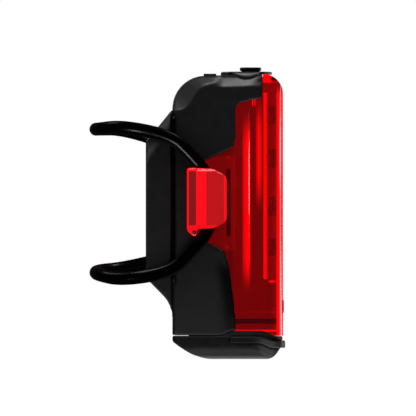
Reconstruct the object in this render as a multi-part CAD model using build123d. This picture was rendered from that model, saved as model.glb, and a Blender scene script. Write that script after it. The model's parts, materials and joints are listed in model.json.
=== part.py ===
from build123d import *
import math
import os

# Bicycle rear light, strapped to a seatpost. Millimetres.
# X runs from the seatpost to the lens, Z is up, and the origin is the bottom of the cradle groove,
# level with the middle of the strap. The case stands about the XZ plane.

# Case
pad_depth = 3.53
body_width = 24.0
body_depth = 30.4
body_height = 71.87
mouth_share = 0.503
roof_fall = 0.95
shoulder_r = 9.0
brow_r = 5.5
front_round_share = 0.7917
rear_r = 1.2
roof_r = 3.0
shoulder_slope = 1.25
jacket_wall = 0.7
lens_wall = 1.7
lens_step = 0.35
side_wall = 2.05
wing_wall = 0.9
rear_wall = 4.2
brow_depth = 5.3
gasket_wall = 0.4
parting_share = 0.558
overrun = 12.0

# Outlines on the side view, as shares of the case's depth and height
black_edge_shares = [
    (0.818, 1.1), (0.818, 0.905), (0.568, 0.883), (0.575, 0.7215), (0.167, 0.641), (0.167, 0.3875),
    (0.466, 0.324), (0.516, 0.2595), (0.571, 0.0717), (0.571, -0.2), (-0.3, -0.2), (-0.3, 1.1),
]
black_edge_radius_shares = [0, 0.05, 0.075, 0.115, 0.03, 0.03, 0.045, 0.55, 0.4, 0, 0, 0]
crease_shares = [
    (-0.05, 0.845), (0.134, 0.87), (0.259, 0.951), (0.45, 0.968), (0.522, 1.012),
    (0.522, 1.2), (-0.3, 1.2), (-0.3, 0.845),
]
crease_radius_shares = [0, 0.12, 0.12, 0.1, 0, 0, 0, 0]
rim_x_shares = [0.44, 0.555, 0.818, 0.92]
rim_rise = 1.3
rim_dip = 0.2
rim_r = 2.5

# Cradle pad on the seatpost side
pad_inset = 0.8
post_r = 17.0
wing_reach = 3.7
pad_top_drop = 9.82
pad_shoulder_drop = 18.77
pad_foot_rise = 15.68
pad_tail_rise = 4.85
pad_feather = 0.15
pad_tip_r = 1.0
pad_side_r = 0.5
pad_curve_r = 8.2
pad_curve_rise = 8.45

# Strap ring
cord_d = 3.6
cord_gap = 0.3
loop_x = 14.8
loop_reach = 17.5
bend_share = 0.45
crossing_turn_share = 0.48
# Near strand, top then bottom, as shares of loop_x for X and Z
near_top_shares = [(1.0, 0.411), (0.556, 0.93), (0.216, 1.223)]
near_low_shares = [(0.216, -1.209), (0.556, -0.919), (1.0, -0.405)]
far_top_shares = [(0.216, 1.135), (0.556, 0.878), (1.0, 0.426)]
far_low_shares = [(1.0, -0.297), (0.556, -0.743), (0.216, -0.993)]
# Crossings behind the post: heights from the near side to the far side
cross_top_shares = [1.405, 1.385, 1.35, 1.297]
cross_low_shares = [-1.392, -1.304, -1.243, -1.162]

# Strap hooks
hook_back_x = 7.2
hook_width = 11.2
hook_low = 9.3
hook_height = 19.1
hook_plate = 1.6
hook_thin = 0.45
hook_step = 0.2
hook_edge_r = 0.4
hook_shares = [
    (0, 1), (0.661, 0.984), (1, 0.885), (1, 0.215), (0.661, 0.131), (0.3, 0.126), (0.241, 0), (0, 0.099),
]
hook_radius_shares = [0.08, 0.25, 0.2, 0.2, 0.25, 0.03, 0.05, 0.14]
rib_start_share = 0.26
rib_end_share = 0.51
post_back_x = 10.1
post_front_x = 12.6
post_tip_x = 10.9
post_centre_z = 1.0
post_half_flat = 2.6
post_half = 5.8

# Button, its boot and its switch
button_inset = 3.2
button_depth = 5.6
button_width = 7.4
button_rise = 1.68
button_height = 1.9
button_edge_r = 0.5
button_travel = 0.5
button_gap = 0.3
boot_shift = 1.15
boot_depth = 14.1
boot_inset = 1.1
boot_wall = 1.0
boot_rise = 0.48
boot_drape = 2.43
plunger_d = 1.8
stem_d = 2.6
stem_height = 1.5
switch_side = 6.0
switch_height = 2.2
switch_floor = 0.6

# Charge indicator in the roof
lamp_boot_gap = 1.4
lamp_length = 2.9
lamp_width = 2.4
lamp_proud = 0.5
pipe_d = 2.0
status_led_height = 0.8
lamp_gap = 0.3

# Boards, light bar and LEDs
board_wall = 1.0
top_board_drop = 7.12
top_board_gap = 0.3
board_inset = 0.8
led_board_side_gap = 0.28
board_side_gap = 0.3
led_board_wall = 1.2
led_board_rise = 15.35
led_board_gap = 0.1
led_top_gap = 6.22
led_low_gap = 9.0
led_count = 4
led_side = 3.0
led_height = 1.0
window_height = 5.0
bar_depth = 2.5
bar_half = 3.6
bar_skin = 0.4
bar_gap = 0.23

# Chassis
chassis_side_gap = 1.35
chassis_wall = 1.2
chassis_back_gap = 3.77
chassis_front_wall = 1.2
bulkhead_wall = 1.2
bulkhead_gap = 0.2
block_clear = 0.6
block_height = 4.4
block_gap = 0.5
foot_half = 3.4

# Battery
cell_gap = 1.1
cell_side_gap = 0.4
cell_top_drop = 7.6
cell_low_rise = 14.15
cell_nub_d = 5.0
cell_nub = 0.6
foam_wall = 0.87
foam_width_share = 0.714
foam_half_length = 14.0
lead_d = 1.0
lead_spread = 1.2
lead_rise = 2.4
lead_bend_share = 0.45
plug_width = 5.0
plug_depth = 3.0
plug_height = 3.6

# Charging socket
usb_width = 9.0
usb_depth = 3.2
usb_length = 7.2
usb_rise = 5.75
usb_skin = 0.35
usb_mouth = 5.0
usb_tongue = 0.7
usb_tongue_share = 0.8
usb_gap = 0.2

# Screws
screw_d = 2.0
screw_head_d = 3.6
screw_head = 1.5
screw_end_gap = 0.27
screw_sink = 0.3
screw_gap = 0.1
drive_d = 1.5
board_screw_head = 1.0
board_screw_inset = 11.4
boss_d = 4.0
spacer_height = 1.4

# Chips on the main board
chip_height = 0.9
chip_shares = [(-0.45, 0.47), (0.35, 0.6), (-0.3, -0.2), (0.45, -0.57)]
chip_side = 4.2
header_depth = 2.0
header_width = 8.0
header_height = 1.7

# End cap, plug and seals
cap_gap = 0.3
cap_depth = 6.55
cap_back_share = 0.25
cap_heel_depth = 1.7
cap_toe_inset = 2.93
cap_front_inset = 0.15
cap_front_depth = 2.45
cap_side_r = 4.5
cap_side_sink = 0.3
cap_heel_r = 1.0
cap_belly_r = 12.0
cap_toe_r = 3.0
cap_lip_r = 1.2
rim_gap = 0.15
rim_band = 1.35
rim_wall = 1.4
rim_front_depth = 1.45
plug_gap = 0.25
plug_wall = 1.4
plug_rise = 5.95
plug_sink = 3.45
plug_floor = 1.2
seal_gap = 0.1
seal_rise = 4.55
seal_height = 1.4
seal_depth = 0.8
grip_back_share = 0.5155
grip_top_depth = 0.35
grip_height = 1.8
grip_bend_share = 0.79
grip_end_share = 0.92
grip_front_depth = 1.55
grip_front_height = 1.95
grip_proud = 0.6
grip_sink = 0.7
grip_end_r = 0.85

# Blank sensor window low on the lens
pane_rise = 6.05
pane_height = 3.6
pane_half = 2.2
pane_proud = 0.25
pane_sink = 0.3
pane_r = 0.8

# Case planes
back_x = pad_depth
front_x = back_x + body_depth
half_width = body_width / 2
front_r = front_round_share * half_width
mouth_z = -mouth_share * body_height
top_z = mouth_z + body_height
parting_x = back_x + parting_share * body_depth
cavity_x = back_x + rear_wall
cavity_half = half_width - side_wall
cavity_front = front_x - lens_wall

# Stack behind the lens, from the front
led_board_x = cavity_front - bar_gap - bar_depth - led_board_wall
chassis_front_x = led_board_x - led_board_gap
chassis_wall_x = chassis_front_x - chassis_front_wall
main_board_x = chassis_wall_x - spacer_height - board_wall

# Half widths
chassis_half = cavity_half - chassis_side_gap
board_half = chassis_half - board_inset
main_board_half = chassis_half - chassis_wall - board_side_gap
pad_half = half_width - pad_inset

# Largest round cell that fits between the foam and the chips, and between the chassis walls
cell_back_x = cavity_x + foam_wall
cell_depth_room = main_board_x - chip_height - cell_gap - cell_back_x
cell_width_room = 2 * (chassis_half - chassis_wall - cell_side_gap)
cell_d = min(cell_depth_room, cell_width_room)
cell_x = cell_back_x + cell_d / 2
block_front_x = cell_x - block_clear

# Roof pieces
button_x = chassis_front_x - button_inset
boot_x = button_x - boot_shift
boot_width = body_width - 2 * boot_inset
lamp_x = boot_x - boot_depth / 2 - lamp_boot_gap - lamp_length / 2
button_top_z = top_z + button_rise
boot_top_z = top_z + boot_rise
top_board_z = top_z - top_board_drop
cell_top_z = top_board_z - cell_top_drop
cell_low_z = mouth_z + cell_low_rise

# Heights near the mouth
plug_top_z = mouth_z + plug_rise
plug_low_z = mouth_z - plug_sink
seal_top_z = mouth_z + seal_rise
usb_low_z = mouth_z + usb_rise
cap_low_z = mouth_z - cap_depth
grip_top_z = mouth_z - grip_top_depth
grip_front_z = mouth_z - grip_front_depth

# LED board
led_board_low_z = mouth_z + led_board_rise
led_board_top_z = top_z - brow_depth
led_top_z = led_board_top_z - led_top_gap
led_pitch = (led_top_z - led_board_low_z - led_low_gap) / (led_count - 1)

# Strap and hooks across the case
strap_y = half_width + cord_gap + cord_d / 2
hook_inner_y = strap_y + cord_d / 2 + cord_gap
hook_outer_y = hook_inner_y + hook_plate


def outline(points, radii):
    """Closed flat outline with its own radius at each corner."""
    return make_face(FilletPolyline(*points, radius=radii, close=True))


def side_prism(points, radii, half):
    """Side-view outline drawn through the width."""
    return extrude(Plane.XZ * outline(points, radii), half, both=True)


def plan_prism(points, radii, low, high):
    """Plan outline drawn from low to high."""
    return Pos(0, 0, low) * extrude(outline(points, radii), high - low)


def box(low, high):
    """Box between two corners."""
    size = [b - a for a, b in zip(low, high)]
    middle = [(a + b) / 2 for a, b in zip(low, high)]
    return Pos(*middle) * Box(*size)


def rod(x, y, low, high, diameter):
    """Upright rod."""
    return Pos(x, y, (low + high) / 2) * Cylinder(diameter / 2, high - low)


def level_rod(y, z, low, high, diameter):
    """Rod along X."""
    turned = Rot(0, 90, 0) * Cylinder(diameter / 2, high - low)
    return Pos((low + high) / 2, y, z) * turned


def spot(x_share, z_share):
    """Side-view point of the case."""
    return (back_x + x_share * body_depth, mouth_z + z_share * body_height)


def both_sides(solid):
    """A solid and its mirror image across the middle plane."""
    return solid + mirror(solid, about=Plane.XZ)


def roof_z(x):
    """Height of the case roof at x."""
    return top_z - roof_fall * (front_x - x) / body_depth


def shoulder_cut(side):
    """Slanted tool that scoops the near shoulder above its crease."""
    run = shoulder_slope / math.sqrt(2)
    across = Vector(-run, 1, run)
    points = [spot(*share) for share in crease_shares]
    radii = [share * body_depth for share in crease_radius_shares]
    face = Plane.XZ * outline(points, radii)
    start = Pos(0, side - half_width, 0) * Pos(*(across * -roof_r)) * face
    reach = half_width
    return extrude(start, reach * across.length, dir=across)


def body_block(inset, side):
    """Whole case shape, drawn in by inset front, top and back, and by side at the two sides."""
    half = half_width - side
    back, front = back_x + inset, front_x - inset
    low, lead_top = mouth_z - overrun, top_z - inset
    rear_top = lead_top - roof_fall
    corners = [(back, low), (back, rear_top), (front, lead_top), (front, low)]
    profile = side_prism(corners, [0, shoulder_r - inset, brow_r - inset, 0], half)
    corners = [(back, -half), (front, -half), (front, half), (back, half)]
    nose = front_r - inset
    plan = plan_prism(corners, [rear_r, nose, nose, rear_r], low, lead_top)
    slope = Plane(origin=(back, 0, rear_top), x_dir=(0, 1, 0), z_dir=(body_depth, 0, roof_fall))
    corners = [(-half, -body_height - overrun), (-half, 0), (half, 0), (half, -body_height - overrun)]
    roof = extrude(slope * outline(corners, [0, roof_r, roof_r, 0]), body_depth + overrun, both=True)
    return profile & plan & roof - both_sides(shoulder_cut(side))


def mouth_line(drop):
    """Lower edge of the case on the side view, moved down by drop."""
    heights = [0, rim_rise, rim_rise, -rim_dip]
    return [(back_x + s * body_depth, mouth_z - drop + h) for s, h in zip(rim_x_shares, heights)]


def below_mouth(drop):
    """Everything under the case's lower edge."""
    line = mouth_line(drop)
    far = front_x + overrun
    corners = [(-overrun, line[0][1])] + line + [(far, line[-1][1]), (far, cap_low_z - overrun)]
    corners += [(-overrun, cap_low_z - overrun)]
    return side_prism(corners, [0, rim_r, rim_r, rim_r, rim_r, 0, 0, 0], body_width)


def black_region():
    """Side-view region of the black cover."""
    points = [spot(*share) for share in black_edge_shares]
    radii = [share * body_depth for share in black_edge_radius_shares]
    return side_prism(points, radii, body_width)


def cavity_plan(gap):
    """Plan outline of the space inside the case, drawn in by gap."""
    back, front, half = cavity_x + gap, cavity_front - gap, cavity_half - gap
    nose = front_r - lens_wall - gap
    return [(back, -half), (front, -half), (front, half), (back, half)], [rear_r, nose, nose, rear_r]


def cavity():
    """Space inside the case, open at the bottom."""
    points, radii = cavity_plan(0)
    room = plan_prism(points, radii, mouth_z - overrun, top_z) & body_block(lens_wall, side_wall)
    brow = box((chassis_front_x, -body_width, top_z - brow_depth), (front_x, body_width, top_z))
    return room - brow


def wings():
    """Red tabs that lie over the case sides and carry the hooks."""
    layer = body_block(0, lens_step) - body_block(0, lens_step + wing_wall)
    behind = box((back_x, -body_width, mouth_z), (parting_x, body_width, top_z))
    return layer & behind - black_region()


def button_hole(gap, low):
    """Oval well round the button."""
    oval = Ellipse(button_depth / 2 + gap, button_width / 2 + gap)
    return Pos(button_x, 0, low) * extrude(oval, button_top_z - low)


def lamp_hole():
    """Slot in the roof for the charge indicator."""
    half_x, half_y = lamp_length / 2, lamp_width / 2
    return box((lamp_x - half_x, -half_y, top_z - shoulder_r), (lamp_x + half_x, half_y, top_z))


def screw_spots():
    """Heights of the two case screws."""
    upper = cell_top_z + block_gap + block_height / 2
    lower = cell_low_z - block_gap - block_height / 2
    return [upper, lower]


def make_jacket(room_below):
    shell = body_block(0, 0) - body_block(jacket_wall, jacket_wall)
    shell = shell & black_region() - room_below
    shell = shell - button_hole(button_gap, top_z - brow_r) - lamp_hole()
    for z in screw_spots():
        shell -= level_rod(0, z, back_x - overrun, cavity_x, screw_head_d + 2 * screw_gap)
    return shell


def make_housing(room_below, wing_layer):
    shell = body_block(jacket_wall, jacket_wall) - cavity() - room_below
    ahead = box((parting_x - gasket_wall, -body_width, cap_low_z), (front_x, body_width, top_z))
    shell = shell - ahead - wing_layer - lamp_hole()
    for z in screw_spots():
        seat = back_x + screw_sink + screw_head
        shell -= level_rod(0, z, back_x, seat, screw_head_d + 2 * screw_gap)
        shell -= level_rod(0, z, back_x, block_front_x, screw_d + 2 * screw_gap)
    return shell


def make_lens(room_below, jacket, wing_layer):
    shell = body_block(0, lens_step) - cavity() - room_below
    behind = box((back_x - overrun, -body_width, cap_low_z), (parting_x, body_width, top_z + overrun))
    covered = (body_block(-overrun, -overrun) - body_block(jacket_wall, jacket_wall)) & black_region()
    shell = shell - behind - covered
    hole = rod(button_x, 0, roof_z(button_x) - brow_r, top_z, plunger_d + 2 * button_gap)
    shell = shell - hole - pane_block(pane_sink) - button_hole(button_gap, roof_z(button_x) - jacket_wall)
    return shell + wing_layer


def make_gasket(room_below):
    band = body_block(lens_wall / 2, lens_step + wing_wall) - cavity() - room_below
    slab = box((parting_x - gasket_wall, -body_width, cap_low_z), (parting_x, body_width, top_z))
    return band & slab


def pane_block(sink):
    """Small plain window on the lens front, let in by sink."""
    low, half = mouth_z + pane_rise, pane_half
    corners = [(-half, low), (half, low), (half, low + pane_height), (-half, low + pane_height)]
    face = Plane.YZ * outline(corners, [pane_r] * len(corners))
    return Pos(front_x - sink, 0, 0) * extrude(face, sink + pane_proud)


def make_pad():
    corners = [
        (back_x, top_z - pad_top_drop), (back_x, mouth_z + pad_tail_rise),
        (back_x - pad_feather, mouth_z + pad_tail_rise), (back_x - pad_feather, mouth_z + pad_curve_rise),
        (-wing_reach, mouth_z + pad_foot_rise), (-wing_reach, top_z - pad_shoulder_drop),
    ]
    body = side_prism(corners, [0, 0, 0, pad_curve_r, pad_tip_r, pad_tip_r], pad_half)
    tip_x = -wing_reach
    corners = [(back_x, -pad_half), (tip_x, -pad_half), (tip_x, pad_half), (back_x, pad_half)]
    body = body & plan_prism(corners, [pad_side_r] * len(corners), mouth_z, top_z)
    return body - Pos(-post_r, 0, 0) * Cylinder(post_r, 2 * body_height)


def ring_points():
    """Corners of the strap's centre line, all the way round from the near hook's top."""
    near, far = -strap_y, strap_y
    turn = strap_y * crossing_turn_share
    middle_x = strap_y - loop_reach
    cross_x = [middle_x - turn, -loop_reach, -loop_reach, middle_x - turn]
    cross_y = [near, -turn, turn, far]
    top = [(x * loop_x, near, z * loop_x) for x, z in near_top_shares]
    top += [(x, y, s * loop_x) for x, y, s in zip(cross_x, cross_y, cross_top_shares)]
    top += [(x * loop_x, far, z * loop_x) for x, z in far_top_shares]
    low = [(x * loop_x, far, z * loop_x) for x, z in far_low_shares]
    low += [(x, y, s * loop_x) for x, y, s in zip(cross_x, cross_y, cross_low_shares)][::-1]
    low += [(x * loop_x, near, z * loop_x) for x, z in near_low_shares]
    return [Vector(*p) for p in top], [Vector(*p) for p in low]


def bend_radii(points):
    """Largest bend that each corner of a closed route leaves room for."""
    radii = []
    for before, corner, after in zip(points[-1:] + points[:-1], points, points[1:] + points[:1]):
        turn = math.radians((corner - before).get_angle(after - corner))
        run = min((corner - before).length, (after - corner).length)
        radii.append(bend_share * run / math.tan(turn / 2))
    return radii


def make_ring():
    top, low = ring_points()
    radii = bend_radii(top + low)
    near_end, far_end = (low[-1] + top[0]) / 2, (top[-1] + low[0]) / 2
    halves = [[near_end] + top + [far_end], [far_end] + low + [near_end]]
    ring, length = Part(), 0
    for points, bends in zip(halves, [radii[:len(top)], radii[len(top):]]):
        route = Wire(FilletPolyline(*points, radius=bends).edges())
        ring += sweep(Plane(origin=route @ 0, z_dir=route % 0) * Circle(cord_d / 2), path=route)
        length += route.length
    section = math.pi * cord_d ** 2 / 4
    print("strap ring length", round(length, 1), "bends", [round(r, 1) for r in radii])
    print("strap ring volume", round(ring.volume, 1), "of", round(section * length, 1))
    return ring


def make_hook():
    """Hook on the near side: a post on the wing and an outer plate over the strap."""
    points = [(hook_back_x + a * hook_width, b * hook_height - hook_low) for a, b in hook_shares]
    radii = [share * hook_width for share in hook_radius_shares]
    face = Pos(0, -hook_inner_y, 0) * (Plane.XZ * outline(points, radii))
    plate = extrude(face, hook_plate)
    plate = fillet(plate.faces().sort_by(Axis.Y)[0].edges(), hook_edge_r)
    high, low = hook_height, -hook_height
    thin_end = hook_back_x + rib_start_share * hook_width
    step_start = hook_back_x + rib_end_share * hook_width
    outer = -hook_outer_y
    plate -= box((hook_back_x - overrun, outer - overrun, low), (thin_end, outer + hook_thin, high))
    plate -= box((step_start, outer - overrun, low), (front_x, outer + hook_step, high))
    centre, flat, half = post_centre_z, post_half_flat, post_half
    corners = [
        (post_back_x, centre - half), (post_tip_x, centre - half), (post_front_x, centre - flat),
        (post_front_x, centre + flat), (post_tip_x, centre + half), (post_back_x, centre + half),
    ]
    face = Pos(0, lens_step - half_width, 0) * (Plane.XZ * outline(corners, [0] * len(corners)))
    return plate + extrude(face, hook_inner_y - half_width + lens_step)


def make_boot():
    layer = body_block(-boot_wall, -boot_wall) - body_block(0, 0)
    oval = Pos(boot_x, 0, 0) * Ellipse(boot_depth / 2, boot_width / 2)
    column = Pos(0, 0, top_z - boot_drape) * extrude(oval, body_height)
    flat = box((back_x, -body_width, boot_top_z), (front_x, body_width, top_z + overrun))
    return layer & column - flat - button_hole(button_gap, mouth_z)


def make_button_cap():
    oval = Ellipse(button_depth / 2, button_width / 2)
    cap = Pos(button_x, 0, button_top_z - button_height) * extrude(oval, button_height)
    return fillet(cap.faces().sort_by(Axis.Z)[-1].edges(), button_edge_r)


def switch_top():
    return top_board_z + board_wall + switch_height


def stem_top():
    return switch_top() + button_travel + plug_gap


def make_plunger():
    return rod(button_x, 0, stem_top(), button_top_z - button_height, plunger_d)


def make_stem():
    return rod(button_x, 0, stem_top() - stem_height, stem_top(), stem_d)


def make_switch():
    low = top_board_z + board_wall
    half = switch_side / 2
    body = box((button_x - half, -half, low), (button_x + half, half, switch_top()))
    return body - rod(button_x, 0, low + switch_floor, switch_top() + overrun, stem_d + 2 * screw_gap)


def make_lamp():
    half_x, half_y = lamp_length / 2, lamp_width / 2
    low = roof_z(lamp_x) - lens_wall
    head = box((lamp_x - half_x, -half_y, low), (lamp_x + half_x, half_y, roof_z(lamp_x) + lamp_proud))
    start = top_board_z + board_wall + status_led_height + lamp_gap
    return head + rod(lamp_x, 0, start, low, pipe_d)


def make_status_led():
    low = top_board_z + board_wall
    half = lamp_width / 4
    return box((lamp_x - half, -half, low), (lamp_x + half, half, low + status_led_height))


def make_top_board():
    low = (cavity_x + top_board_gap, -board_half, top_board_z)
    return box(low, (chassis_front_x, board_half, top_board_z + board_wall))


def bulkhead_low():
    return plug_top_z + rim_rise / 2


def main_board_low():
    return bulkhead_low() + bulkhead_wall


def main_board_top():
    return top_board_z - bulkhead_gap


def board_screw_spots():
    """Heights of the two screws of the main board."""
    return [main_board_top() - board_screw_inset, main_board_low() + board_screw_inset]


def make_main_board():
    low = (main_board_x, -main_board_half, main_board_low())
    board = box(low, (main_board_x + board_wall, main_board_half, main_board_top()))
    for z in board_screw_spots():
        board -= level_rod(0, z, main_board_x, main_board_x + board_wall, screw_d + 2 * screw_gap)
    return board


def make_chips():
    """Chips on the battery side of the main board."""
    group = Part()
    half = chip_side / 2
    upper, lower = board_screw_spots()
    for y_share, z_share in chip_shares:
        y = y_share * main_board_half
        z = (upper + lower) / 2 + z_share * (upper - lower) / 2
        low = (main_board_x - chip_height, y - half, z - half)
        group += box(low, (main_board_x, y + half, z + half))
    return group


def make_header():
    high = top_board_z
    low = (main_board_x - header_depth, -header_width / 2, high - header_height)
    return box(low, (main_board_x, header_width / 2, high))


def cavity_half_at(x):
    """Half width of the space inside the case at x, in its rounded front."""
    nose = front_r - lens_wall
    return cavity_half - nose + math.sqrt(nose ** 2 - (x - cavity_front + nose) ** 2)


def make_led_board():
    face = led_board_x + led_board_wall
    half = cavity_half_at(face) - led_board_side_gap
    return box((led_board_x, -half, led_board_low_z), (face, half, led_board_top_z))


def led_heights():
    return [led_top_z - k * led_pitch for k in range(led_count)]


def make_leds():
    """Four LEDs down the board."""
    face, half = led_board_x + led_board_wall, led_side / 2
    group = Part()
    for z in led_heights():
        group += box((face, -half, z - half), (face + led_height, half, z + half))
    return group


def make_light_bar():
    face = led_board_x + led_board_wall
    bar = box((face, -bar_half, led_board_low_z), (face + bar_depth, bar_half, led_board_top_z))
    for z in led_heights():
        half = window_height / 2
        bar -= box((face, -bar_half, z - half), (face + bar_depth - bar_skin, bar_half, z + half))
    return bar


def make_chassis():
    low, high, half = main_board_low(), top_board_z, chassis_half
    inner = half - chassis_wall
    frame = box((cavity_x + chassis_back_gap, -half, low), (chassis_front_x, half, high))
    frame -= box((cavity_x, -inner, low), (chassis_wall_x, inner, high))
    upper, lower = screw_spots()
    for z in (upper, lower):
        reach = block_height / 2
        frame += box((cavity_x + bulkhead_gap, -inner, z - reach), (block_front_x, inner, z + reach))
        frame -= level_rod(0, z, cavity_x, block_front_x, screw_d)
    for z in board_screw_spots():
        frame += level_rod(0, z, main_board_x + board_wall, chassis_wall_x, boss_d)
        frame -= level_rod(0, z, main_board_x, chassis_front_x - chassis_front_wall / 2, screw_d)
    points, radii = cavity_plan(bulkhead_gap)
    floor = plan_prism(points, radii, bulkhead_low(), low)
    foot_front = led_board_x + led_board_wall + bar_depth
    foot = box((chassis_front_x, -foot_half, low), (foot_front, foot_half, led_board_low_z))
    port = usb_box(usb_gap, overrun)
    return frame + floor + foot - port


def usb_box(gap, reach):
    """Space of the charging socket, grown by gap, and reach longer than it."""
    half = usb_width / 2 + gap
    low = (main_board_x - usb_depth - gap, -half, usb_low_z - reach)
    return box(low, (main_board_x, half, usb_low_z + usb_length + gap))


def make_usb():
    half = usb_width / 2
    socket = usb_box(0, 0)
    inner = half - usb_skin
    back, front = main_board_x - usb_depth + usb_skin, main_board_x - usb_skin
    socket -= box((back, -inner, usb_low_z), (front, inner, usb_low_z + usb_mouth))
    middle = (back + front) / 2
    half = usb_tongue_share * inner
    low = (middle - usb_tongue / 2, -half, usb_low_z)
    tongue = box(low, (middle + usb_tongue / 2, half, usb_low_z + usb_mouth))
    return socket + tongue


def make_cell():
    cell = rod(cell_x, 0, cell_low_z, cell_top_z - cell_nub, cell_d)
    cell = fillet(cell.edges().filter_by(GeomType.CIRCLE), cell_nub)
    return cell + rod(cell_x, 0, cell_top_z - 2 * cell_nub, cell_top_z, cell_nub_d)


def make_foam():
    """Foam strip between the case's back wall and the cell."""
    centre = (cell_top_z + cell_low_z) / 2
    half = foam_width_share * cell_d / 2
    low = (cavity_x, -half, centre - foam_half_length)
    strip = box(low, (cell_x, half, centre + foam_half_length))
    return strip - rod(cell_x, 0, -body_height, body_height, cell_d)


def lead_x():
    return cell_x + cell_nub_d / 4


def make_leads():
    """Two short leads from the cell to its plug."""
    group = Part()
    for side in (-1, 1):
        y = side * lead_spread
        rise = cell_top_z + lead_rise
        end = main_board_x - plug_depth
        points = [(lead_x(), y, cell_top_z), (lead_x(), y, rise), (end, y, rise)]
        route = Wire(FilletPolyline(*points, radius=lead_bend_share * lead_rise).edges())
        group += sweep(Plane(origin=route @ 0, z_dir=route % 0) * Circle(lead_d / 2), path=route)
    return group


def make_plug():
    centre = cell_top_z + lead_rise
    low = (main_board_x - plug_depth, -plug_width / 2, centre - plug_height / 2)
    return box(low, (main_board_x, plug_width / 2, centre + plug_height / 2))


def make_case_screws():
    """Screws through the case's back into the chassis."""
    group = Part()
    for z in screw_spots():
        start = back_x + screw_sink
        seat = start + screw_head
        head = level_rod(0, z, start, seat, screw_head_d)
        head -= level_rod(0, z, start, start + screw_head / 2, drive_d)
        group += head + level_rod(0, z, seat, block_front_x - screw_end_gap, screw_d)
    return group


def make_board_screws():
    """Screws through the main board into the chassis."""
    group = Part()
    for z in board_screw_spots():
        start = main_board_x - board_screw_head
        head = level_rod(0, z, start, main_board_x, screw_head_d)
        head -= level_rod(0, z, start, start + board_screw_head / 2, drive_d)
        group += head + level_rod(0, z, main_board_x, chassis_front_x - chassis_front_wall / 2, screw_d)
    return group


def plug_block(gap, low, high):
    """Upright block with the outline of the case's inside, drawn in by gap."""
    points, radii = cavity_plan(gap)
    return plan_prism(points, radii, low, high)


def make_cap_plug():
    """Cup that closes the case's mouth, with a groove for its seal."""
    cup = plug_block(plug_gap, plug_low_z, plug_top_z)
    cup -= plug_block(plug_gap + plug_wall, plug_low_z + plug_floor, plug_top_z)
    return cup - make_cap_seal()


def make_cap_seal():
    ring = plug_block(seal_gap, seal_top_z - seal_height, seal_top_z)
    return ring - plug_block(plug_gap + seal_depth, seal_top_z - seal_height, seal_top_z)


def cap_top_line():
    """Upper edge of the cap's shell, under the rim band."""
    line = mouth_line(rim_gap + rim_band)
    flat = mouth_z - cap_gap
    return [(line[0][0], flat), (line[2][0], flat), (line[3][0], mouth_z - rim_front_depth)]


def cap_corners():
    """Side-view outline of the cap's shell."""
    front = front_x - cap_front_inset
    step, bend, lip = cap_top_line()
    corners = [(back_x, step[1]), bend, lip, (front, lip[1]), (front, mouth_z - cap_front_depth)]
    belly_x = back_x + cap_back_share * body_depth
    corners += [(front_x - cap_toe_inset, cap_low_z), (belly_x, cap_low_z)]
    corners += [(back_x, mouth_z - cap_heel_depth)]
    return corners, [0, rim_r, rim_r, 0, cap_lip_r, cap_toe_r, cap_belly_r, cap_heel_r]


def grip_corners():
    """Side-view outline of the finger bar."""
    start_x = back_x + grip_back_share * body_depth
    bend_x = back_x + grip_bend_share * body_depth
    end_x = back_x + grip_end_share * body_depth
    far_x = front_x + overrun
    low, front_low = grip_top_z - grip_height, grip_front_z - grip_front_height
    tops = [(start_x, grip_top_z), (bend_x, grip_top_z), (end_x, grip_front_z), (far_x, grip_front_z)]
    lows = [(far_x, front_low), (end_x - grip_height / 2, front_low), (bend_x, low), (start_x, low)]
    return tops + lows


def plan_ring(proud, sink):
    """Tall band round the case's plan outline, from proud of it to sink inside it."""
    def slab(grow):
        half = half_width + grow
        back, front = back_x - grow, front_x + grow
        corners = [(back, -half), (front, -half), (front, half), (back, half)]
        radii = [rear_r, front_r + grow, front_r + grow, rear_r]
        return plan_prism(corners, radii, cap_low_z, mouth_z + overrun)
    return slab(proud) - slab(-sink)


def make_grip():
    end_r = grip_end_r
    radii = [end_r, rim_r, rim_r, 0, 0, rim_r, rim_r, end_r]
    return side_prism(grip_corners(), radii, body_width) & plan_ring(grip_proud, grip_sink)


def make_end_cap():
    corners, radii = cap_corners()
    shell = side_prism(corners, radii, half_width)
    low, high, half = cap_low_z - cap_side_sink, mouth_z + overrun, half_width
    front = front_x - cap_front_inset
    corners = [(back_x, -half), (front, -half), (front, half), (back_x, half)]
    shell = shell & plan_prism(corners, [rear_r, front_r, front_r, rear_r], low, high)
    corners = [(-half, low), (half, low), (half, high), (-half, high)]
    belly = extrude(Plane.YZ * outline(corners, [cap_side_r, cap_side_r, 0, 0]), body_width + body_depth)
    shell = shell & belly
    return shell - plug_block(plug_gap, plug_low_z, high) - make_grip() - make_cap_rim()


def make_cap_rim():
    """Raised seal band that hugs the lower edge of the lens."""
    tops = mouth_line(rim_gap)
    step, bend, lip = cap_top_line()
    reach = front_x + overrun
    corners = [(step[0] - rim_band, step[1])] + tops
    corners += [(reach, tops[-1][1]), (reach, lip[1]), lip, bend]
    radii = [0, rim_r, rim_r, rim_r, rim_r / 2, 0, 0, rim_r / 2, rim_r]
    return side_prism(corners, radii, body_width) & plan_ring(-cap_front_inset, rim_wall)


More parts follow.
